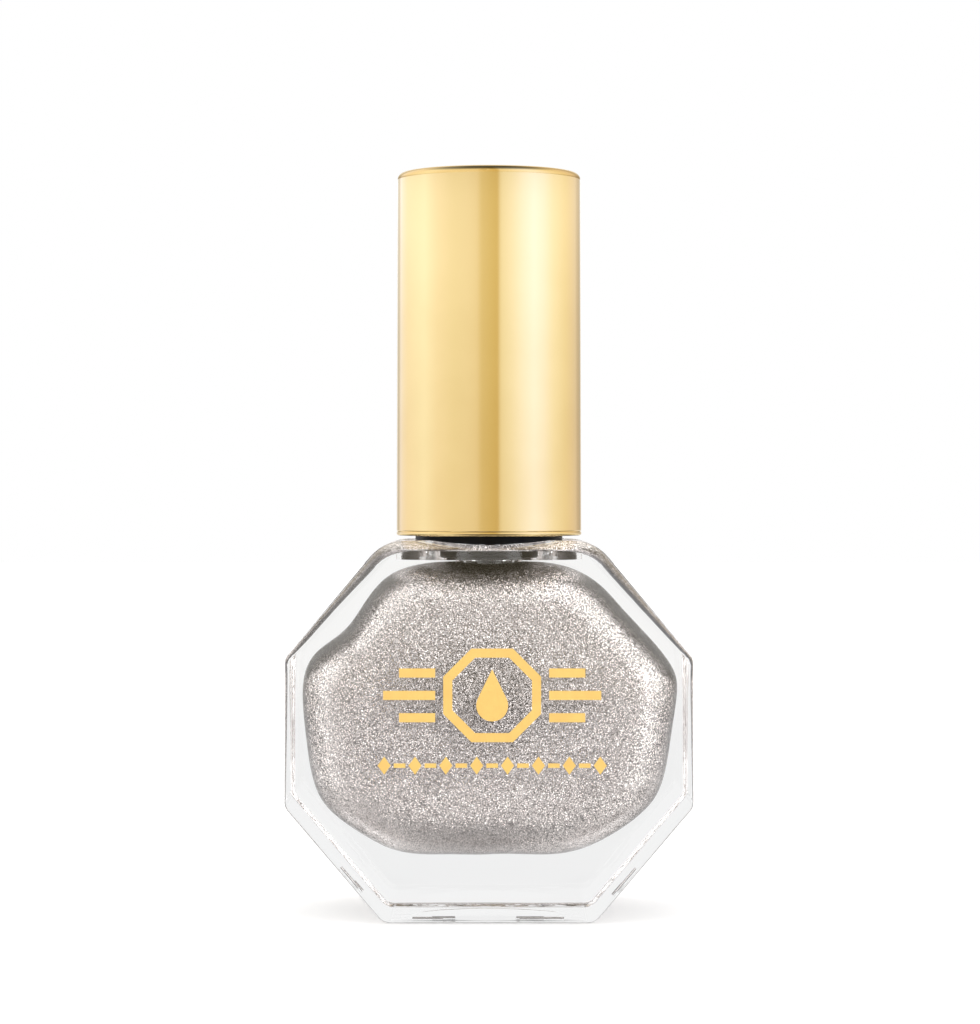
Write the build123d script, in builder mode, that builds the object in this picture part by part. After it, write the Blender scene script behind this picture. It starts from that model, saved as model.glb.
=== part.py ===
from build123d import *
import os
from math import asin, copysign, cos, pi, sin, sqrt

# Nail polish bottle: octagonal glass bottle, tall metal overcap on a threaded plastic closure, brush,
# seal, lacquer and mixing balls. Millimetres, +Z up, front face towards -Y.
# Origin: centre of the base, on the surface that the bottle stands on.

os.makedirs("parts", exist_ok=True)

# --- driving dimensions -------------------------------------------------------------------------

# glass body, an octagon seen from the front
BODY_WIDTH = 38.6
BODY_HEIGHT = 36.0
BODY_DEPTH = 21.6
FLAT_WIDTH = 20.0          # width of the base and of the shoulder between the slanted sides
SIDE_LOW = 10.9            # height where the lower slant meets the upright side
SIDE_HIGH = 24.9           # height where the upright side meets the upper slant
SIDE_CORNER_R = 1.2
SHOULDER_CORNER_R = 4.4
BASE_CORNER_R = 1.5

# flat part of the front and the back face: half-width and height at the same four corners
FACE_CORNERS = [
    (9.9, 0.24),
    (19.08, 10.97),
    (18.9, 24.6),
    (9.0, 35.05),
]
FACE_EDGE_DEPTH = 3.4      # how far back from the face the rounding round it reaches
FACE_EDGE_POWER = 2.0      # 1 is an elliptical rounding, more is a tighter one
SHOULDER_FALL = 0.65       # how far the shoulder's straight slope falls over that depth
FACE_EDGE_STEPS = 5

# chamber inside the glass
FLOOR_Z = 5.9
CHAMBER_TOP_Z = 33.9
CHAMBER_DEPTH = 16.0
CHAMBER_OUTLINE = [        # half way through the depth, from the floor up the right side and round
    (0.0, FLOOR_Z),
    (3.6, 5.9),
    (7.0, 6.0),
    (9.6, 6.7),
    (12.1, 8.0),
    (14.5, 9.75),
    (16.0, 11.5),
    (16.8, 13.6),
    (17.4, 17.0),
    (17.9, 20.4),
    (17.9, 22.9),
    (16.8, 24.9),
    (14.9, 27.1),
    (12.8, 29.35),
    (10.8, 31.5),
    (9.0, 32.75),
    (6.6, 33.6),
    (3.4, CHAMBER_TOP_Z),
    (0.0, CHAMBER_TOP_Z),
    (-3.8, CHAMBER_TOP_Z),
    (-7.2, 33.5),
    (-9.7, 32.45),
    (-11.2, 30.95),
    (-12.4, 29.2),
    (-13.6, 27.55),
    (-15.1, 26.3),
    (-16.7, 25.0),
    (-17.6, 23.3),
    (-17.85, 21.2),
    (-17.5, 17.0),
    (-16.9, 13.3),
    (-16.0, 11.1),
    (-14.4, 9.4),
    (-11.9, 7.7),
    (-9.3, 6.4),
    (-6.6, 5.92),
    (-3.4, FLOOR_Z),
]
CHAMBER_HALF = (18.0, 14.0)    # half-width and half-height of that outline
PILLOW_INSET = 4.6             # how far its front and back faces draw in from that outline
PILLOW_POWER = 2.4             # 2 is a round edge, more is a squarer one
PILLOW_STEPS = 6

# shallow domed push-up under the base
PUSH_UP_R = 7.0
PUSH_UP_HEIGHT = 0.35

# grooves that the mould leaves: centre, tilt in degrees about Y, and length
MARK_R = 0.34
MOULD_MARKS = [
    (-5.8, -7.4, 0.06, 0, 2.9),
    (-4.3, -6.0, 0.0, 0, 2.2),
    (5.0, -7.4, 0.06, 0, 4.2),
    (3.9, -6.0, 0.0, 0, 2.6),
    (-13.3, -8.8, 4.1, 49.5, 2.6),
    (-12.5, -7.6, 3.2, 49.5, 1.2),
    (13.1, -8.8, 3.9, -49.5, 2.8),
    (12.3, -7.6, 2.9, -49.5, 1.4),
]

# round pocket in the shoulder, which the collar of the closure sinks into
POCKET_R = 8.95
POCKET_Z = 34.15
POCKET_FLARE = (0.3, 0.7)  # how far its mouth widens, and over what height

# neck finish and thread
NECK_R = 5.7
NECK_TOP_Z = 45.8
NECK_LAND_R = 0.45         # rounding of the land that the seal presses on
NECK_BORE_R = 3.3
NECK_BEAD_R = 6.4
NECK_BEAD_Z = (37.2, 38.2)
NECK_BEAD_CHAMFER = 0.3
NECK_ROOT_R = 0.7
NECK_SINK = 1.0            # how far the neck and its bore run on into the shoulder
THREAD_PITCH = 2.12
NECK_THREAD_Z = 40.4       # centre of the neck thread where it starts
NECK_THREAD_TURNS = 1.5
NECK_THREAD_R = 6.45
CAP_THREAD_TURNS = 1.25
CAP_THREAD_R = 5.88
THREAD_ROOT_WIDTH = 1.15
THREAD_CREST_WIDTH = 0.48
THREAD_SINK = 0.12         # how far a thread's root is sunk into its wall

# closure
CAP_BORE_R = 6.65
CAP_BOTTOM_Z = 34.3
COLLAR_R = 7.15
COLLAR_EDGE_R = 0.25
FLANGE_Z = 37.5
FLANGE_HEIGHT = 1.6
CAP_WALL_R = 8.0
CAP_RIB_R = 8.48
CAP_RIB_COUNT = 18
CAP_RIB_WIDTH = 0.8
CAP_RIB_SHORT = 0.02       # how far a rib's face stays inside its radius
CORE_BORE_R = 6.9          # hollow above the deck
SEAL_THICKNESS = 0.8
SEAL_GAP = 0.05
SEAL_SIDE_GAP = 0.3
DECK_THICKNESS = 1.6
BOSS_R = 4.0
BOSS_HEIGHT = 3.6

# metal overcap
SHELL_R = 9.0
SHELL_TOP_R = 8.91
SHELL_BORE_R = 8.5
SHELL_BOTTOM_Z = 36.4
SHELL_TOP_Z = 71.6
SHELL_TOP_WALL = 0.5
SHELL_TOP_EDGE_R = 0.7
RIM_HEIGHT = 0.42          # rolled rim at the mouth of the shell
RIM_INNER_R = 8.12
RIM_GROOVE = 0.07
RIM_STEP = 0.02            # how far the wall above the groove stays inside the rim
RIM_OUTER_ROLL = 0.05
RIM_INNER_ROLL = 0.1

# brush
STEM_PLUG_R = 2.2
STEM_PLUG_LENGTH = 3.2
STEM_PLUG_CHAMFER = 0.4
STEM_FLANGE_R = 3.0
STEM_CONE_HEIGHT = 1.2
STEM_TOP_R = 1.75
STEM_TIP_R = 1.5
STEM_TIP_Z = 20.0
TUFT_SOCKET_R = 1.15
TUFT_SOCKET_DEPTH = 4.0
TUFT_TIP_Z = 7.3
TUFT_TIP_R = 0.75
TUFT_TIP_BEVEL = 0.15
TUFT_BULGE = [(1.45, 15.5), (1.6, 11.0), (1.35, 8.4)]     # radius and height, from the stem down
STAPLE_SIZE = (1.9, 0.3, 1.5)
STAPLE_GAP = 0.3           # between the staple and the top of the socket
RUNNING_GAP = 0.05

# lacquer and mixing balls
WELL_R = 2.0               # room for the brush in the lacquer
WELL_FLOOR_Z = 6.9
BALL_R = 2.0
BALL_X = 6.2
BALL_GAP = 0.06

# printed motif on the front face
FOIL_THICKNESS = 0.03
MOTIF_X = 0.3
MOTIF_Z = 21.5
MOTIF_WIDTH = 9.2
MOTIF_HEIGHT = 8.8
MOTIF_CORNER = 2.65
MOTIF_STROKE = 0.86
DROP_R = 1.5
DROP_HEIGHT = 4.9
BAR_THICKNESS = 0.86
BAR_SPACING = 2.1
BAR_LENGTHS = (3.4, 4.9, 3.4)
BAR_GAP = 0.75
ROW_Z = 14.9               # row of lozenges with dashes between them, below the octagon
ROW_COUNT = 8              # lozenges
ROW_PITCH = 2.9
LOZENGE_HALF = (0.62, 0.85)
DASH_SIZE = (1.1, 0.42)

NEAR = 0.01                # tolerance for picking edges by their height

# --- helpers ------------------------------------------------------------------------------------


def mirrored(points):
    """The closed outline whose right half is the given points, from the lowest one up."""
    return points + [(-x, z) for x, z in reversed(points)]


def thread_ridge(wall_r, crest_r, start_z, turns):
    """One helical ridge, standing out of a round wall towards the crest radius."""
    outward = 1 if crest_r > wall_r else -1
    with BuildPart() as ridge:
        with BuildLine() as path:
            Helix(THREAD_PITCH, THREAD_PITCH * turns, wall_r, center=(0, 0, start_z))
        start = path.line @ 0
        section_plane = Plane(origin=start, x_dir=(outward, 0, 0), z_dir=path.line % 0)
        with BuildSketch(section_plane):
            with BuildLine():
                Polyline(
                    (-THREAD_SINK, -THREAD_ROOT_WIDTH / 2),
                    (0, -THREAD_ROOT_WIDTH / 2),
                    (abs(crest_r - wall_r), -THREAD_CREST_WIDTH / 2),
                    (abs(crest_r - wall_r), THREAD_CREST_WIDTH / 2),
                    (0, THREAD_ROOT_WIDTH / 2),
                    (-THREAD_SINK, THREAD_ROOT_WIDTH / 2),
                    close=True,
                )
            make_face()
        sweep(path=path.line, is_frenet=True)
    return ridge.part


# --- chamber: the hollow that the lacquer fills -------------------------------------------------

chamber_middle_z = (FLOOR_Z + CHAMBER_TOP_Z) / 2


def chamber_section(angle):
    """Depth of one section of the pillow-shaped chamber, and its outline drawn in to that depth."""
    depth = copysign(abs(sin(angle)) ** (2 / PILLOW_POWER), angle) * CHAMBER_DEPTH / 2
    inset = PILLOW_INSET * (1 - abs(cos(angle)) ** (2 / PILLOW_POWER))
    across = 1 - inset / CHAMBER_HALF[0]
    upright = 1 - inset / CHAMBER_HALF[1]
    outline = [
        (x * across, chamber_middle_z + (z - chamber_middle_z) * upright) for x, z in CHAMBER_OUTLINE
    ]
    return depth, outline


with BuildPart() as chamber:
    for step in range(-PILLOW_STEPS, PILLOW_STEPS + 1):
        section_depth, section_outline = chamber_section(step / PILLOW_STEPS * pi / 2)
        with BuildSketch(Plane.XZ.offset(section_depth)):
            with BuildLine():
                Spline(*section_outline, periodic=True)
            make_face()
    loft()

# --- glass bottle -------------------------------------------------------------------------------

body_corners = [
    (FLAT_WIDTH / 2, 0),
    (BODY_WIDTH / 2, SIDE_LOW),
    (BODY_WIDTH / 2, SIDE_HIGH),
    (FLAT_WIDTH / 2, BODY_HEIGHT),
]
prism_half_depth = BODY_DEPTH / 2 - FACE_EDGE_DEPTH
dome_r = (PUSH_UP_R**2 + PUSH_UP_HEIGHT**2) / (2 * PUSH_UP_HEIGHT)


def octagon_face(half_corners):
    """An octagon given by its right half, with all its corners rounded."""
    with BuildSketch(mode=Mode.PRIVATE) as octagon:
        Polygon(*mirrored(half_corners), align=None)
        rows = octagon.vertices().group_by(Axis.Y)
        fillet(rows[1] + rows[2], SIDE_CORNER_R)
        fillet(octagon.vertices().group_by(Axis.Y)[-1], SHOULDER_CORNER_R)
        fillet(octagon.vertices().group_by(Axis.Y)[0], BASE_CORNER_R)
    return octagon.sketch_local


def edge_section(angle):
    """Depth of one section through the rounding round a face, and the octagon at that depth."""
    depth = prism_half_depth + FACE_EDGE_DEPTH * sin(angle)
    round_share = 1 - cos(angle)
    share = round_share**FACE_EDGE_POWER
    corners = [
        (x + (face_x - x) * share, z + (face_z - z) * share)
        for (x, z), (face_x, face_z) in zip(body_corners, FACE_CORNERS)
    ]
    round_fall = BODY_HEIGHT - FACE_CORNERS[-1][1] - SHOULDER_FALL
    corners[-1] = (corners[-1][0], BODY_HEIGHT - SHOULDER_FALL * sin(angle) - round_fall * round_share)
    return depth, corners


with BuildPart() as glass_bottle:
    with BuildSketch(Plane.XZ):
        add(octagon_face(body_corners))
    extrude(amount=prism_half_depth, both=True)
    for side in (1, -1):
        for step in range(FACE_EDGE_STEPS + 1):
            edge_depth, edge_corners = edge_section(step / FACE_EDGE_STEPS * pi / 2)
            with BuildSketch(Plane.XZ.offset(side * edge_depth)):
                add(octagon_face(edge_corners))
        loft()
    # pocket in the shoulder, and the neck with its bead standing in it
    with BuildSketch(Plane.XZ):
        with BuildLine():
            Polyline(
                (0, POCKET_Z),
                (POCKET_R, POCKET_Z),
                (POCKET_R, BODY_HEIGHT - POCKET_FLARE[1]),
                (POCKET_R + POCKET_FLARE[0], BODY_HEIGHT),
                (0, BODY_HEIGHT),
                close=True,
            )
        make_face()
    revolve(axis=Axis.Z, mode=Mode.SUBTRACT)
    with BuildSketch(Plane.XZ):
        with BuildLine():
            Polyline(
                (0, POCKET_Z - NECK_SINK),
                (NECK_R, POCKET_Z - NECK_SINK),
                (NECK_R, NECK_BEAD_Z[0]),
                (NECK_BEAD_R, NECK_BEAD_Z[0] + NECK_BEAD_CHAMFER),
                (NECK_BEAD_R, NECK_BEAD_Z[1] - NECK_BEAD_CHAMFER),
                (NECK_R, NECK_BEAD_Z[1]),
                (NECK_R, NECK_TOP_Z),
                (0, NECK_TOP_Z),
                close=True,
            )
        make_face()
    revolve(axis=Axis.Z)
    circles = glass_bottle.edges().filter_by(GeomType.CIRCLE)
    floor_circles = circles.filter_by_position(Axis.Z, POCKET_Z - NEAR, POCKET_Z + NEAR)
    fillet(floor_circles.sort_by(SortBy.RADIUS)[0], NECK_ROOT_R)
    add(thread_ridge(NECK_R, NECK_THREAD_R, NECK_THREAD_Z, NECK_THREAD_TURNS))
    add(chamber.part, mode=Mode.SUBTRACT)
    with Locations((0, 0, CHAMBER_TOP_Z - NECK_SINK)):
        Cylinder(
            NECK_BORE_R,
            NECK_TOP_Z - CHAMBER_TOP_Z + NECK_SINK,
            align=(Align.CENTER, Align.CENTER, Align.MIN),
            mode=Mode.SUBTRACT,
        )
    # rounded land at the top of the neck, and the push-up under the base
    fillet(glass_bottle.edges().group_by(Axis.Z)[-1], NECK_LAND_R)
    with Locations((0, 0, PUSH_UP_HEIGHT - dome_r)):
        Sphere(dome_r, mode=Mode.SUBTRACT)
    # short grooves that the mould leaves along the base and the lower slants
    for mark_x, mark_y, mark_z, tilt, length in MOULD_MARKS:
        with Locations(Location((mark_x, mark_y, mark_z), (0, 90 + tilt, 0))):
            Cylinder(MARK_R, length, mode=Mode.SUBTRACT)
glass_bottle.part.label = "glass_bottle"
export_step(glass_bottle.part, "parts/glass_bottle.step")

# --- lacquer, with a well for the brush and pockets for the balls -------------------------------

ball_places = [(-BALL_X, 0, FLOOR_Z + BALL_R + BALL_GAP), (BALL_X, 0, FLOOR_Z + BALL_R + BALL_GAP)]

with BuildPart() as lacquer:
    add(chamber.part)
    with Locations((0, 0, WELL_FLOOR_Z)):
        Cylinder(
            WELL_R,
            CHAMBER_TOP_Z,
            align=(Align.CENTER, Align.CENTER, Align.MIN),
            mode=Mode.SUBTRACT,
        )
    with Locations(*ball_places):
        Sphere(BALL_R + BALL_GAP, mode=Mode.SUBTRACT)
lacquer.part.label = "lacquer"
export_step(lacquer.part, "parts/lacquer.step")

with BuildPart() as mixing_balls:
    with Locations(*ball_places):
        Sphere(BALL_R)
mixing_balls.part.label = "mixing_balls"
export_step(mixing_balls.part, "parts/mixing_balls.step")

# --- inner cap: collar, flange, thread, deck, socket for the stem, ribbed core -------------------

deck_z = NECK_TOP_Z + SEAL_THICKNESS + 2 * SEAL_GAP
core_top_z = SHELL_TOP_Z - SHELL_TOP_WALL - SEAL_GAP

with BuildPart() as inner_cap:
    with BuildSketch(Plane.XZ):
        with BuildLine():
            Polyline(
                (0, deck_z),
                (CAP_BORE_R, deck_z),
                (CAP_BORE_R, CAP_BOTTOM_Z),
                (COLLAR_R, CAP_BOTTOM_Z),
                (COLLAR_R, FLANGE_Z),
                (CAP_RIB_R, FLANGE_Z),
                (CAP_RIB_R, FLANGE_Z + FLANGE_HEIGHT),
                (CAP_WALL_R, FLANGE_Z + FLANGE_HEIGHT),
                (CAP_WALL_R, core_top_z),
                (CORE_BORE_R, core_top_z),
                (CORE_BORE_R, deck_z + DECK_THICKNESS),
                (BOSS_R, deck_z + DECK_THICKNESS),
                (BOSS_R, deck_z + BOSS_HEIGHT),
                (0, deck_z + BOSS_HEIGHT),
                close=True,
            )
        make_face()
    revolve(axis=Axis.Z)
    with BuildSketch(Plane.XY.offset(FLANGE_Z + FLANGE_HEIGHT)):
        with PolarLocations(CAP_WALL_R, CAP_RIB_COUNT):
            Rectangle(2 * (CAP_RIB_R - CAP_WALL_R - CAP_RIB_SHORT), CAP_RIB_WIDTH)
    extrude(amount=core_top_z - FLANGE_Z - FLANGE_HEIGHT)
    with BuildSketch(Plane.XY.offset(deck_z)):
        Circle(STEM_PLUG_R + RUNNING_GAP)
    extrude(amount=STEM_PLUG_LENGTH + RUNNING_GAP, mode=Mode.SUBTRACT)
    add(thread_ridge(CAP_BORE_R, CAP_THREAD_R, NECK_THREAD_Z - THREAD_PITCH / 2, CAP_THREAD_TURNS))
    fillet(inner_cap.edges().group_by(Axis.Z)[0].sort_by(SortBy.LENGTH)[-1], COLLAR_EDGE_R)
inner_cap.part.label = "inner_cap"
export_step(inner_cap.part, "parts/inner_cap.step")

# --- overcap: drawn metal shell with a rolled rim ------------------------------------------------

rim_z = SHELL_BOTTOM_Z + RIM_HEIGHT
outer_top = (SHELL_TOP_R, SHELL_TOP_Z - SHELL_TOP_EDGE_R)
wall_foot = (SHELL_R - RIM_STEP, rim_z + RIM_GROOVE)
rim_outer = (SHELL_R - RIM_GROOVE - RIM_OUTER_ROLL, SHELL_BOTTOM_Z)
rim_inner = (RIM_INNER_R + RIM_INNER_ROLL, SHELL_BOTTOM_Z)

with BuildPart() as overcap:
    with BuildSketch(Plane.XZ):
        with BuildLine():
            Line((0, SHELL_TOP_Z), (SHELL_TOP_R - SHELL_TOP_EDGE_R, SHELL_TOP_Z))
            TangentArc(
                (SHELL_TOP_R - SHELL_TOP_EDGE_R, SHELL_TOP_Z),
                outer_top,
                tangent=(1, 0),
            )
            Line(outer_top, wall_foot)
            Line(wall_foot, (SHELL_R - RIM_GROOVE, rim_z))
            ThreePointArc(
                (SHELL_R - RIM_GROOVE, rim_z),
                (SHELL_R, SHELL_BOTTOM_Z + RIM_HEIGHT / 2),
                rim_outer,
            )
            Line(rim_outer, rim_inner)
            ThreePointArc(
                rim_inner,
                (RIM_INNER_R, SHELL_BOTTOM_Z + RIM_HEIGHT / 2),
                (RIM_INNER_R + RIM_INNER_ROLL, rim_z),
            )
            Line((RIM_INNER_R + RIM_INNER_ROLL, rim_z), (SHELL_BORE_R, rim_z))
            Line((SHELL_BORE_R, rim_z), (SHELL_BORE_R, SHELL_TOP_Z - SHELL_TOP_WALL))
            Line((SHELL_BORE_R, SHELL_TOP_Z - SHELL_TOP_WALL), (0, SHELL_TOP_Z - SHELL_TOP_WALL))
            Line((0, SHELL_TOP_Z - SHELL_TOP_WALL), (0, SHELL_TOP_Z))
        make_face()
    revolve(axis=Axis.Z)
overcap.part.label = "overcap"
export_step(overcap.part, "parts/overcap.step")

# --- neck seal -----------------------------------------------------------------------------------

with BuildPart() as neck_seal:
    with BuildSketch(Plane.XY.offset(NECK_TOP_Z + SEAL_GAP)):
        Circle(CAP_BORE_R - SEAL_SIDE_GAP)
        Circle(STEM_FLANGE_R + RUNNING_GAP, mode=Mode.SUBTRACT)
    extrude(amount=SEAL_THICKNESS)
neck_seal.part.label = "neck_seal"
export_step(neck_seal.part, "parts/neck_seal.step")

# --- brush: stem, tuft and the wire anchor -------------------------------------------------------

plug_z = deck_z - RUNNING_GAP
flange_bottom_z = NECK_TOP_Z + SEAL_GAP
socket_top_z = STEM_TIP_Z + TUFT_SOCKET_DEPTH

with BuildPart() as brush_stem:
    with BuildSketch(Plane.XZ):
        with BuildLine():
            Polyline(
                (0, socket_top_z),
                (TUFT_SOCKET_R, socket_top_z),
                (TUFT_SOCKET_R, STEM_TIP_Z),
                (STEM_TIP_R, STEM_TIP_Z),
                (STEM_TOP_R, flange_bottom_z - STEM_CONE_HEIGHT),
                (STEM_FLANGE_R, flange_bottom_z),
                (STEM_FLANGE_R, plug_z),
                (STEM_PLUG_R, plug_z),
                (STEM_PLUG_R, plug_z + STEM_PLUG_LENGTH - STEM_PLUG_CHAMFER),
                (STEM_PLUG_R - STEM_PLUG_CHAMFER, plug_z + STEM_PLUG_LENGTH),
                (0, plug_z + STEM_PLUG_LENGTH),
                close=True,
            )
        make_face()
    revolve(axis=Axis.Z)
brush_stem.part.label = "brush_stem"
export_step(brush_stem.part, "parts/brush_stem.step")

staple_top_z = socket_top_z - STAPLE_GAP

with BuildPart() as brush_staple:
    with BuildSketch(Plane.XY.offset(staple_top_z - STAPLE_SIZE[2])):
        Rectangle(STAPLE_SIZE[0], STAPLE_SIZE[1])
    extrude(amount=STAPLE_SIZE[2])
brush_staple.part.label = "brush_staple"
export_step(brush_staple.part, "parts/brush_staple.step")

with BuildPart() as brush_bristles:
    with BuildSketch(Plane.XZ):
        with BuildLine():
            Line((0, socket_top_z), (TUFT_SOCKET_R, socket_top_z))
            Line((TUFT_SOCKET_R, socket_top_z), (TUFT_SOCKET_R, STEM_TIP_Z))
            Spline((TUFT_SOCKET_R, STEM_TIP_Z), *TUFT_BULGE, (TUFT_TIP_R, TUFT_TIP_Z + TUFT_TIP_BEVEL))
            Line((TUFT_TIP_R, TUFT_TIP_Z + TUFT_TIP_BEVEL), (0, TUFT_TIP_Z))
            Line((0, TUFT_TIP_Z), (0, socket_top_z))
        make_face()
    revolve(axis=Axis.Z)
    add(brush_staple.part, mode=Mode.SUBTRACT)
brush_bristles.part.label = "brush_bristles"
export_step(brush_bristles.part, "parts/brush_bristles.step")

# --- foil motif on the front face: octagon with a drop, bars either side, and a rule below -------


def octagon_points(width, height, corner):
    """The points of an upright octagon whose corners are cut back by the given length."""
    half_w = width / 2
    half_h = height / 2
    return mirrored(
        [
            (half_w - corner, -half_h),
            (half_w, -half_h + corner),
            (half_w, half_h - corner),
            (half_w - corner, half_h),
        ]
    )


apex = DROP_HEIGHT - DROP_R
tangent_angle = asin(DROP_R / apex)
middle_bar = (len(BAR_LENGTHS) - 1) / 2

with BuildPart() as foil_print:
    with BuildSketch(Plane.XZ.offset(BODY_DEPTH / 2)):
        with Locations((MOTIF_X, MOTIF_Z)):
            Polygon(*octagon_points(MOTIF_WIDTH, MOTIF_HEIGHT, MOTIF_CORNER), align=None)
            Polygon(
                *octagon_points(
                    MOTIF_WIDTH - 2 * MOTIF_STROKE,
                    MOTIF_HEIGHT - 2 * MOTIF_STROKE,
                    MOTIF_CORNER - (2 - sqrt(2)) * MOTIF_STROKE,
                ),
                align=None,
                mode=Mode.SUBTRACT,
            )
        with Locations((MOTIF_X, MOTIF_Z - apex / 2 + DROP_R / 2)):
            Circle(DROP_R)
            Polygon(
                (0, apex),
                (-DROP_R * cos(tangent_angle), DROP_R * sin(tangent_angle)),
                (DROP_R * cos(tangent_angle), DROP_R * sin(tangent_angle)),
                align=None,
            )
        for row, length in enumerate(BAR_LENGTHS):
            bar_x = MOTIF_WIDTH / 2 + BAR_GAP + length / 2
            bar_z = MOTIF_Z + (row - middle_bar) * BAR_SPACING
            with Locations((MOTIF_X - bar_x, bar_z), (MOTIF_X + bar_x, bar_z)):
                Rectangle(length, BAR_THICKNESS)
        with Locations((MOTIF_X, ROW_Z)):
            with GridLocations(ROW_PITCH, 0, ROW_COUNT, 1):
                Polygon(
                    (LOZENGE_HALF[0], 0),
                    (0, LOZENGE_HALF[1]),
                    (-LOZENGE_HALF[0], 0),
                    (0, -LOZENGE_HALF[1]),
                    align=None,
                )
            with GridLocations(ROW_PITCH, 0, ROW_COUNT - 1, 1):
                Rectangle(*DASH_SIZE)
    extrude(amount=FOIL_THICKNESS)
foil_print.part.label = "foil_print"
export_step(foil_print.part, "parts/foil_print.step")

print("thread pitch", THREAD_PITCH, "chamber volume ml", round(chamber.part.volume / 1000, 2))
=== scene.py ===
import math

import bmesh
import bpy
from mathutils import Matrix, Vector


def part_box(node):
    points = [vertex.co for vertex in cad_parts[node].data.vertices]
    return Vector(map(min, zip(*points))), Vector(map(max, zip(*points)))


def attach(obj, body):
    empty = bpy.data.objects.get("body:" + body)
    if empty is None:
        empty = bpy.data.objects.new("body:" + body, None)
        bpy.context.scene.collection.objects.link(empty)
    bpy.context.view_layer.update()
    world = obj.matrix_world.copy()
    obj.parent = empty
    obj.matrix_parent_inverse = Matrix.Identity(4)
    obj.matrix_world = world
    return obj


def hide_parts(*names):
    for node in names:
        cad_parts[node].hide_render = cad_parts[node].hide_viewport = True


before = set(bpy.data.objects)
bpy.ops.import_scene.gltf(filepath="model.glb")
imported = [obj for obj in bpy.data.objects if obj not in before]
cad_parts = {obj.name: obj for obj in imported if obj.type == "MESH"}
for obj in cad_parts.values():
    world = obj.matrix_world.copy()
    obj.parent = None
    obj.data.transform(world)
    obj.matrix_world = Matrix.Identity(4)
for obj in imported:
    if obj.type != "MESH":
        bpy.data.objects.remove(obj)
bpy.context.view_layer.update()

# Nail polish bottle: octagonal clear glass, shimmer lacquer, gold overcap on a black brush closure.
# Metres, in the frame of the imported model. The front face looks towards -Y.

MM = 0.001

# --- helpers ------------------------------------------------------------------------------------


class Tree:
    """A node tree, with short ways to add nodes and feed their inputs."""

    def __init__(self, node_tree):
        self.nodes = node_tree.nodes
        self.links = node_tree.links

    def feed(self, socket, value):
        """Gives an input another node's output, or a constant."""
        if isinstance(value, bpy.types.NodeSocket):
            self.links.new(value, socket)
        else:
            socket.default_value = value

    def add(self, kind, **values):
        """Adds a node. A capitalised name is one of its inputs, any other is one of its properties."""
        node = self.nodes.new(kind)
        for name, value in values.items():
            if name[0].isupper():
                self.feed(node.inputs[name], value)
            else:
                setattr(node, name, value)
        return node

    def math(self, operation, a, b=0.0):
        """A maths node's result."""
        node = self.add("ShaderNodeMath", operation=operation)
        self.feed(node.inputs[0], a)
        self.feed(node.inputs[1], b)
        return node.outputs[0]

    def vector(self, operation, a, b=(0.0, 0.0, 0.0)):
        """A vector maths node's result, which for a length is a number."""
        node = self.add("ShaderNodeVectorMath", operation=operation)
        self.feed(node.inputs[0], a)
        self.feed(node.inputs[1], b)
        return node.outputs["Value" if operation == "LENGTH" else "Vector"]

    def azimuth(self, place):
        """The angle round the Z axis in radians, from -Y and positive towards +X."""
        axes = self.add("ShaderNodeSeparateXYZ", Vector=place).outputs
        return self.math("ARCTAN2", axes["X"], self.math("MULTIPLY", axes["Y"], -1.0))

    def ramp(self, factor, stops, peak=1.0):
        """A colour ramp over (position, grey or colour) stops, with its colours divided by the peak."""
        node = self.add("ShaderNodeValToRGB", Fac=factor)
        elements = node.color_ramp.elements
        while len(elements) > 1:
            elements.remove(elements[-1])
        for index, (position, level) in enumerate(stops):
            stop = elements[0] if index == 0 else elements.new(position)
            stop.position = position
            colour = level if isinstance(level, tuple) else (level,) * 3
            stop.color = (*(part / peak for part in colour), 1.0)
        return node.outputs["Color"]

    def mix(self, share, a, b, blend_type="MIX"):
        """Two colours in one: the first, with the second mixed in or multiplied by the given share."""
        node = self.add("ShaderNodeMix", data_type="RGBA", blend_type=blend_type, Factor=share, A=a, B=b)
        return node.outputs["Result"]

    def pick(self, share, first, second):
        """Two shaders in one: the second by the given share, and the first for the rest."""
        node = self.add("ShaderNodeMixShader", Fac=share)
        self.feed(node.inputs[1], first)
        self.feed(node.inputs[2], second)
        return node.outputs[0]


class Shader(Tree):
    """A material, with its Principled BSDF as the surface."""

    def __init__(self, name):
        self.material = bpy.data.materials.new(name)
        self.material.use_nodes = True
        super().__init__(self.material.node_tree)
        self.surface = self.nodes["Principled BSDF"]

    def set(self, **values):
        """Feeds the surface's inputs, with an underscore for each space in a name."""
        for name, value in values.items():
            self.feed(self.surface.inputs[name.replace("_", " ")], value)

    def place(self):
        """Object coordinates, in metres: they don't slide when the piece moves."""
        return self.add("ShaderNodeTexCoord").outputs["Object"]

    def noise(self, scale, detail):
        """Soft noise over the piece, with its scale in cycles a metre."""
        node = self.add("ShaderNodeTexNoise", Scale=scale, Detail=detail, Vector=self.place())
        return node.outputs["Fac"]

    def relief(self, scale, height, strength, detail=2.0):
        """Leans the surface by a noise relief, whose full height is in metres."""
        heights = self.noise(scale, detail)
        bump = self.add("ShaderNodeBump", Strength=strength, Distance=height, Height=heights)
        self.set(Normal=bump.outputs["Normal"])


def dress(obj, material):
    """Gives an object one material."""
    obj.data.materials.clear()
    obj.data.materials.append(material)


def add_object(mesh):
    """Puts a mesh into the scene, as an object of the same name."""
    obj = bpy.data.objects.new(mesh.name, mesh)
    bpy.context.scene.collection.objects.link(obj)
    return obj


# --- materials ----------------------------------------------------------------------------------
# Scales are in cycles a metre. A cloud is the slow unevenness of a colour, and a grain is a fine relief.

GLASS_IOR = 1.52
MOULD_WAVES = 160.0
MOULD_WAVE_HEIGHT = 0.06 * MM


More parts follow.
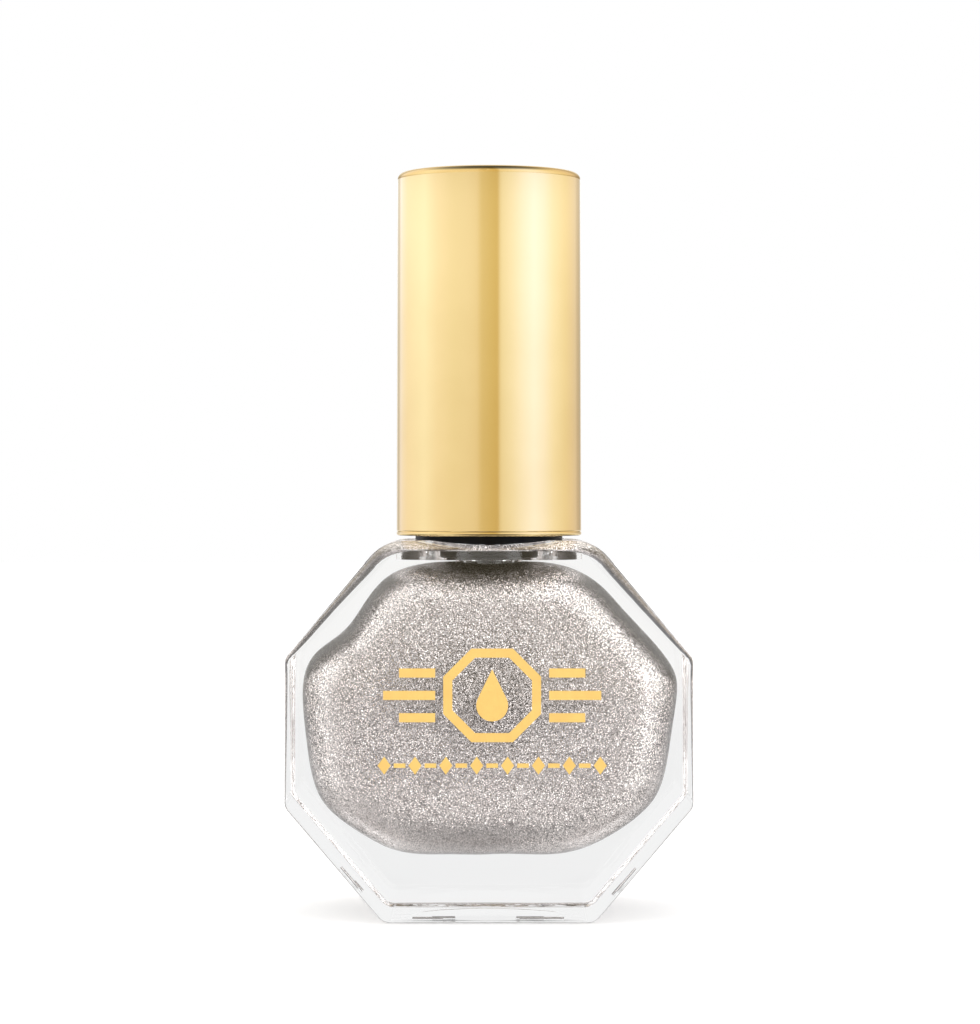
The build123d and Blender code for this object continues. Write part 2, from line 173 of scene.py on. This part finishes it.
def clear_glass():
    """Clear flint glass, with the faint waves that a mould leaves."""
    shader = Shader("clear_glass")
    shader.set(Base_Color=(0.985, 0.988, 0.988, 1), Roughness=0.0, IOR=GLASS_IOR, Transmission_Weight=1.0)
    shader.relief(MOULD_WAVES, MOULD_WAVE_HEIGHT, strength=0.35, detail=1.0)
    return shader.material


# shimmer lacquer
FLAKE_SCALE = 15500.0          # flakes in a metre, so each is about 0.065 mm across
FLAKE_LEAN = 1.0               # how far a flake leans off the lacquer's own surface
FLAKE_TONES = [(0.0, 0.12), (0.25, 0.5), (0.5, 0.86), (0.7, 1.0), (1.0, 1.0)]
LACQUER_TINT = (1.0, 0.93, 0.9)

# painted shade: the rim between the front and the back is painted darker, by how far it faces forward or
# back, after the second list has added to that by how far it faces up, which leaves the painted shade
# widest along the upper slants
PAINTED_RIM_SHADE = [(0.0, 0.08), (0.3, 0.25), (0.5, 0.5), (0.64, 1.0)]
PAINTED_SHADE_NARROWED = [(0.15, 0.3), (0.4, 0.0), (0.8, 0.0), (0.9, 0.45)]


def shimmer_lacquer():
    """Silver-taupe lacquer: fine flakes that each face their own way, and a painted shade along its rim.
    """
    shader = Shader("shimmer_lacquer")
    flakes = shader.add("ShaderNodeTexVoronoi", feature="F1", Scale=FLAKE_SCALE, Vector=shader.place())
    own = flakes.outputs["Color"]

    tone = shader.add("ShaderNodeSeparateColor", Color=own).outputs["Red"]
    tinted = [(at, tuple(share * tint for tint in LACQUER_TINT)) for at, share in FLAKE_TONES]
    # painted shade: the flakes' colour is darkened where the lacquer's own surface faces sideways rather
    # than forward or back
    outward = shader.add("ShaderNodeTexCoord").outputs["Normal"]
    facing = shader.add("ShaderNodeSeparateXYZ", Vector=outward).outputs
    upward = shader.ramp(facing["Z"], PAINTED_SHADE_NARROWED)
    lit = shader.math("ADD", shader.math("ABSOLUTE", facing["Y"]), upward)
    colour = shader.mix(1.0, shader.ramp(tone, tinted), shader.ramp(lit, PAINTED_RIM_SHADE), "MULTIPLY")

    lean = shader.vector("SUBTRACT", own, (0.5, 0.5, 0.5))
    lean = shader.vector("MULTIPLY", lean, (FLAKE_LEAN, FLAKE_LEAN, FLAKE_LEAN))
    leaned = shader.vector("ADD", lean, shader.add("ShaderNodeNewGeometry").outputs["Normal"])
    shader.set(Base_Color=colour, Metallic=0.95, Roughness=0.2, Normal=shader.vector("NORMALIZE", leaned))
    return shader.material


GOLD_CLOUD = 150.0
GOLD_DYE = [(0.3, (0.88, 0.67, 0.315)), (0.7, (0.92, 0.71, 0.345))]
GOLD_POLISH = [(0.3, 0.1), (0.7, 0.12)]
GOLD_GRAIN = 900.0
GOLD_GRAIN_HEIGHT = 0.001 * MM


def gold_metal():
    """Bright gold anodised shell: slight unevenness of the dye and the polish, and a fine grain."""
    shader = Shader("gold_metal")
    cloud = shader.noise(GOLD_CLOUD, detail=3.0)
    shader.set(Base_Color=shader.ramp(cloud, GOLD_DYE), Roughness=shader.ramp(cloud, GOLD_POLISH))
    shader.set(Metallic=1.0)
    shader.relief(GOLD_GRAIN, GOLD_GRAIN_HEIGHT, strength=0.2)
    return shader.material


PLAIN_CLOUD = 400.0
PLAIN_MOTTLE = 0.15            # share by which the colour goes darker and lighter
PLAIN_GRAIN = 2500.0
PLAIN_GRAIN_HEIGHT = 0.02 * MM


def plain(name, colour, roughness, metallic=0.0, specular=0.5):
    """A moulded or drawn surface: slight mottling of its colour and a fine grain."""
    shader = Shader(name)
    low = tuple(part * (1 - PLAIN_MOTTLE) for part in colour)
    high = tuple(min(1.0, part * (1 + PLAIN_MOTTLE)) for part in colour)
    mottled = shader.ramp(shader.noise(PLAIN_CLOUD, detail=3.0), [(0.3, low), (0.7, high)])
    shader.set(Base_Color=mottled, Roughness=roughness, Metallic=metallic, Specular_IOR_Level=specular)
    shader.relief(PLAIN_GRAIN, PLAIN_GRAIN_HEIGHT, strength=0.3)
    return shader.material


FOIL_CLOUD = 700.0
FOIL_TONE = [(0.3, (0.92, 0.585, 0.16)), (0.7, (0.96, 0.635, 0.175))]
FOIL_ROUGHNESS = [(0.3, 0.42), (0.7, 0.58)]
FOIL_GRAIN = 3000.0
FOIL_GRAIN_HEIGHT = 0.004 * MM


def gold_foil():
    """Hot-stamped foil: nearly flat in tone, a little mottled where it was pressed on."""
    shader = Shader("gold_foil")
    cloud = shader.noise(FOIL_CLOUD, detail=3.0)
    shader.set(Base_Color=shader.ramp(cloud, FOIL_TONE), Roughness=shader.ramp(cloud, FOIL_ROUGHNESS))
    shader.relief(FOIL_GRAIN, FOIL_GRAIN_HEIGHT, strength=0.3)
    return shader.material


MATERIALS = {
    "glass_bottle": clear_glass(),
    "overcap": gold_metal(),
    "foil_print": gold_foil(),
    "inner_cap": plain("black_plastic", (0.008, 0.007, 0.007), 0.4, specular=0.15),
    "neck_seal": plain("seal_foam", (0.82, 0.82, 0.8), 0.6),
    "brush_stem": plain("stem_plastic", (0.02, 0.02, 0.02), 0.4),
    "brush_bristles": plain("nylon_bristle", (0.03, 0.026, 0.025), 0.45),
    "brush_staple": plain("staple_wire", (0.5, 0.5, 0.51), 0.3, metallic=1.0),
    "mixing_balls": plain("steel_ball", (0.6, 0.6, 0.61), 0.12, metallic=1.0),
}
for node_name, material in MATERIALS.items():
    dress(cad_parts[node_name], material)

# --- lacquer: a cast of the chamber's own wall --------------------------------------------------

LACQUER_SWELL = 0.05 * MM      # it reaches this far into the glass, so that no air shows between them
WELD = 0.0005 * MM
CHAMBER_MARGIN = 0.01 * MM     # how far above or below the CAD lacquer the middle of a wall face may lie


def cast_of_chamber():
    """A closed mesh of the hollow in the glass, taken from the glass's inner wall."""
    low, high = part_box("lacquer")
    middle = (low + high) / 2
    bm = bmesh.new()
    bm.from_mesh(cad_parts["glass_bottle"].data)
    bmesh.ops.remove_doubles(bm, verts=bm.verts, dist=WELD)

    def outside(face):
        """Whether a face isn't one of the chamber's, which look towards its middle."""
        at = face.calc_center_median()
        if not low.z - CHAMBER_MARGIN < at.z < high.z + CHAMBER_MARGIN:
            return True
        return face.normal.dot(middle - at) <= 0

    bmesh.ops.delete(bm, geom=[f for f in bm.faces if outside(f)], context="FACES")
    bmesh.ops.holes_fill(bm, edges=[e for e in bm.edges if e.is_boundary], sides=0)
    bmesh.ops.triangulate(bm, faces=[f for f in bm.faces if len(f.verts) > 4])
    bmesh.ops.recalc_face_normals(bm, faces=bm.faces)
    for vert in bm.verts:
        vert.co += vert.normal * LACQUER_SWELL
    mesh = bpy.data.meshes.new("lacquer_fill")
    bm.to_mesh(mesh)
    bm.free()
    mesh.shade_smooth()
    return add_object(mesh)


lacquer_fill = cast_of_chamber()
dress(lacquer_fill, shimmer_lacquer())
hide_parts("lacquer")
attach(lacquer_fill, "bottle")

# --- bristles: separate nylon filaments in the tuft's envelope ---------------------------------

FILAMENTS = 420
FILAMENT_R = 0.04 * MM
FILAMENT_SIDES = 5
FILAMENT_RINGS = 11
FILAMENT_TIP = 0.35            # a tip's radius, as a share of the filament's
FILAMENT_BOW = 0.05 * MM
LENGTH_SPREAD = 0.25 * MM      # how much shorter a filament may be than its neighbours
OWN_STEPS = (12.9898, 4.1414)  # radians from one filament to the next, in the two waves that vary them
GOLDEN_ANGLE = math.pi * (3 - math.sqrt(5))
ROOT_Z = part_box("brush_stem")[0].z + 1.0 * MM        # inside the stem's socket
TIP_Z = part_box("brush_bristles")[0].z + 0.12 * MM     # just short of the CAD tuft's end
TIP_DOME = 0.9 * MM            # how much shorter the outermost filaments are

# radius of the tuft by height, in millimetres, from its root down
TUFT_ENVELOPE = [(21.0, 1.05), (20.0, 1.08), (15.5, 1.38), (11.0, 1.52), (8.4, 1.28), (7.3, 0.72)]


def tuft_radius(z):
    """The envelope's radius at a height, both in metres."""
    for (z_high, r_high), (z_low, r_low) in zip(TUFT_ENVELOPE, TUFT_ENVELOPE[1:]):
        if z >= z_low * MM:
            share = min(1.0, (z_high * MM - z) / ((z_high - z_low) * MM))
            return (r_high + (r_low - r_high) * share) * MM
    return TUFT_ENVELOPE[-1][1] * MM


def bristle_tuft():
    """Filaments on a sunflower pattern, each with its own length, slight bow and tapered tip."""
    verts, faces = [], []
    for index in range(FILAMENTS):
        share = math.sqrt((index + 0.5) / FILAMENTS)
        angle = index * GOLDEN_ANGLE
        own = sum(math.sin(index * step) for step in OWN_STEPS) / len(OWN_STEPS)
        end = TIP_Z + TIP_DOME * share**2 + LENGTH_SPREAD * abs(own)
        first = len(verts)
        for ring in range(FILAMENT_RINGS):
            along = ring / (FILAMENT_RINGS - 1)
            z = ROOT_Z + (end - ROOT_Z) * along
            reach = share * tuft_radius(z) - FILAMENT_R
            bow = FILAMENT_BOW * own * math.sin(math.pi * along)
            x = reach * math.cos(angle) - bow * math.sin(angle)
            y = reach * math.sin(angle) + bow * math.cos(angle)
            radius = FILAMENT_R * (FILAMENT_TIP if ring == FILAMENT_RINGS - 1 else 1.0)
            for side in range(FILAMENT_SIDES):
                turn = 2 * math.pi * side / FILAMENT_SIDES
                verts.append((x + radius * math.cos(turn), y + radius * math.sin(turn), z))
        for ring in range(FILAMENT_RINGS - 1):
            start = first + ring * FILAMENT_SIDES
            for side in range(FILAMENT_SIDES):
                a = start + side
                b = start + (side + 1) % FILAMENT_SIDES
                faces.append((a, a + FILAMENT_SIDES, b + FILAMENT_SIDES, b))
        faces.append(tuple(range(first, first + FILAMENT_SIDES)))
        last = first + (FILAMENT_RINGS - 1) * FILAMENT_SIDES
        faces.append(tuple(range(last + FILAMENT_SIDES - 1, last - 1, -1)))
    mesh = bpy.data.meshes.new("bristle_filaments")
    mesh.from_pydata(verts, [], faces)
    mesh.shade_smooth()
    return add_object(mesh)


bristle_filaments = bristle_tuft()
dress(bristle_filaments, MATERIALS["brush_bristles"])
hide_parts("brush_bristles")
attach(bristle_filaments, "brush")

# --- floor, world and camera --------------------------------------------------------------------

FLOOR_SIZE = 3.0
FLOOR_GLOW = 0.42              # makes it as bright as the backdrop where nothing shades it
FLOOR_FADES = 0.25             # metres out from which reflections begin to see the backdrop instead
FLOOR_GONE = 0.4               # metres out from which they see nothing else

# how bright the floor is by azimuth, to either side of the camera's: in reflections and through the glass
FLOOR_REFLECTED = [(0, 0.12), (30, 0.15), (55, 0.93), (180, 0.93)]
FLOOR_REFRACTED = [(0, 0.55), (22, 0.55), (32, 0.15), (55, 0.93), (180, 0.93)]


def make_floor():
    """A wide white floor that runs into the backdrop."""
    half = FLOOR_SIZE / 2
    mesh = bpy.data.meshes.new("floor")
    corners = [(-half, -half, 0), (half, -half, 0), (half, half, 0), (-half, half, 0)]
    mesh.from_pydata(corners, [], [(0, 1, 2, 3)])
    floor = add_object(mesh)
    shader = Shader("floor_white")
    shader.set(Base_Color=(0.88, 0.88, 0.88, 1), Roughness=0.9, Specular_IOR_Level=0.0)
    shader.set(Emission_Color=(1, 1, 1, 1), Emission_Strength=FLOOR_GLOW)
    rays = shader.add("ShaderNodeLightPath").outputs

    aside = shader.math("DIVIDE", shader.math("ABSOLUTE", shader.azimuth(shader.place())), math.pi)
    reflected, refracted = (
        shader.ramp(aside, [(angle / 180, grey) for angle, grey in stops])
        for stops in (FLOOR_REFLECTED, FLOOR_REFRACTED)
    )
    level = shader.mix(rays["Is Transmission Ray"], reflected, refracted)
    glow = shader.add("ShaderNodeEmission", Color=level).outputs[0]
    lit = shader.math("MAXIMUM", rays["Is Camera Ray"], rays["Is Diffuse Ray"])
    solid = shader.pick(lit, glow, shader.surface.outputs[0])

    reach = shader.vector("LENGTH", shader.place())
    far = shader.ramp(reach, [(FLOOR_FADES, 0.0), (FLOOR_GONE, 1.0)])
    unseen = shader.math("MULTIPLY", far, rays["Is Glossy Ray"])
    clear = shader.add("ShaderNodeBsdfTransparent").outputs[0]
    shader.feed(shader.nodes["Material Output"].inputs["Surface"], shader.pick(unseen, solid, clear))
    dress(floor, shader.material)


# studio brightness by azimuth from the camera's side, in degrees, positive to the right
STUDIO = [
    (-180, (1.0, 1.0, 1.0)),
    (-166, (1.0, 1.0, 1.0)),
    (-160, (0.62, 0.61, 0.58)),
    (-152, (0.75, 0.75, 0.75)),
    (-146, (1.05, 1.08, 1.3)),
    (-123, (1.09, 1.09, 1.15)),
    (-88, (1.14, 1.22, 1.36)),
    (-67, (1.06, 1.06, 1.08)),
    (-45, (0.99, 0.98, 0.92)),
    (-26, (0.97, 0.95, 0.89)),
    (-15, (0.94, 0.90, 0.80)),
    (-9, (0.82, 0.74, 0.52)),
    (4, (0.77, 0.67, 0.40)),
    (11, (0.74, 0.62, 0.34)),
    (14.5, (0.98, 0.98, 0.93)),
    (30, (1.08, 1.13, 1.25)),
    (42, (1.15, 1.25, 1.6)),
    (58, (1.22, 1.36, 1.95)),
    (72, (1.16, 1.27, 1.7)),
    (88, (1.09, 1.13, 1.22)),
    (110, (0.99, 0.97, 0.9)),
    (124, (0.93, 0.88, 0.84)),
    (138, (0.85, 0.8, 0.78)),
    (146, (0.68, 0.62, 0.56)),
    (160, (0.55, 0.5, 0.42)),
    (168, (1.0, 1.0, 1.0)),
    (180, (1.0, 1.0, 1.0)),
]

# share of that brightness by height, from straight down to straight up, in degrees
STUDIO_HEIGHT = [
    (-90, (0.93, 0.89, 0.86)),
    (-0.5, (0.93, 0.89, 0.86)),
    (2.5, 0.98),
    (4.5, (1.12, 1.14, 1.2)),
    (6.0, (1.25, 1.32, 1.5)),
    (6.7, (0.64, 0.56, 0.44)),
    (9.5, (0.64, 0.56, 0.44)),
    (16, (1.0, 0.92, 0.78)),
    (42, (1.0, 0.92, 0.78)),
    (60, 0.3),
    (75, 0.1),
    (90, 0.1),
]

# the same two for light that comes through the glass: a pale backdrop and bright boxes at the sides
GLASS_STUDIO = [
    (-180, 0.93),
    (-158, 0.93),
    (-150, 0.3),
    (-140, 0.3),
    (-132, 2.4),
    (-48, 2.6),
    (-30, 1.3),
    (28, 1.3),
    (44, 2.9),
    (132, 2.7),
    (138, 0.25),
    (150, 0.25),
    (158, 0.93),
    (180, 0.93),
]
GLASS_STUDIO_HEIGHT = [(-90, 0.9), (-30, 1.0), (25, 1.0), (55, 0.65), (90, 0.6)]
RAMP_PEAK = 3.0                # a ramp holds colours up to 1, so they're stored divided by this


def make_world():
    """A studio of large soft boxes and dark flags, all round the object."""
    world = bpy.data.worlds.new("studio")
    bpy.context.scene.world = world
    world.use_nodes = True
    tree = Tree(world.node_tree)
    tree.nodes.clear()
    outward = tree.add("ShaderNodeTexCoord").outputs["Generated"]
    turn = tree.math("ADD", tree.math("DIVIDE", tree.azimuth(outward), 2 * math.pi), 0.5)
    up = tree.add("ShaderNodeSeparateXYZ", Vector=outward).outputs["Z"]
    height = tree.math("ADD", tree.math("DIVIDE", tree.math("ARCSINE", up), math.pi), 0.5)

    def light(around, upright):
        """Light whose colour follows the direction: one ramp round the object, times one up and down."""
        by_turn = tree.ramp(turn, [(angle / 360 + 0.5, level) for angle, level in around], RAMP_PEAK)
        by_height = tree.ramp(height, [(angle / 180 + 0.5, level) for angle, level in upright], RAMP_PEAK)
        colour = tree.mix(1.0, by_turn, by_height, "MULTIPLY")
        return tree.add("ShaderNodeBackground", Color=colour, Strength=RAMP_PEAK**2).outputs[0]

    rays = tree.add("ShaderNodeLightPath").outputs
    reflected = light(STUDIO, STUDIO_HEIGHT)
    refracted = light(GLASS_STUDIO, GLASS_STUDIO_HEIGHT)
    studio = tree.pick(rays["Is Transmission Ray"], reflected, refracted)
    backdrop = tree.add("ShaderNodeBackground", Color=(1, 1, 1, 1)).outputs[0]
    plain_white = tree.math("MAXIMUM", rays["Is Camera Ray"], rays["Is Diffuse Ray"])
    tree.add("ShaderNodeOutputWorld", Surface=tree.pick(plain_white, studio, backdrop))


CAMERA_DISTANCE = 0.309
EYE_HEIGHT = 0.0406
LENS_MM = 111.6
SENSOR_MM = 36.0
SHIFT_X = 0.001                # places the bottle in the picture without tilting the camera
SHIFT_Y = -0.0195


def make_camera():
    """A level camera straight in front of the bottle."""
    data = bpy.data.cameras.new("camera")
    data.sensor_width = SENSOR_MM
    data.lens = LENS_MM
    data.shift_x = SHIFT_X
    data.shift_y = SHIFT_Y
    data.clip_start = 0.01
    data.clip_end = 10.0
    camera = bpy.data.objects.new("camera", data)
    camera.location = (0.0, -CAMERA_DISTANCE, EYE_HEIGHT)
    camera.rotation_euler = (math.radians(90), 0.0, 0.0)
    bpy.context.scene.collection.objects.link(camera)
    bpy.context.scene.camera = camera


make_floor()
make_world()
make_camera()

GLASS_BOUNCES = 40             # light runs round inside the thread's ridge many times before it leaves
MOST_BOUNCES = GLASS_BOUNCES + 8

scene = bpy.context.scene
scene.view_settings.view_transform = "Standard"
scene.view_settings.look = "None"
scene.cycles.max_bounces = MOST_BOUNCES
scene.cycles.transmission_bounces = GLASS_BOUNCES
scene.cycles.glossy_bounces = GLASS_BOUNCES
scene.cycles.transparent_max_bounces = 16
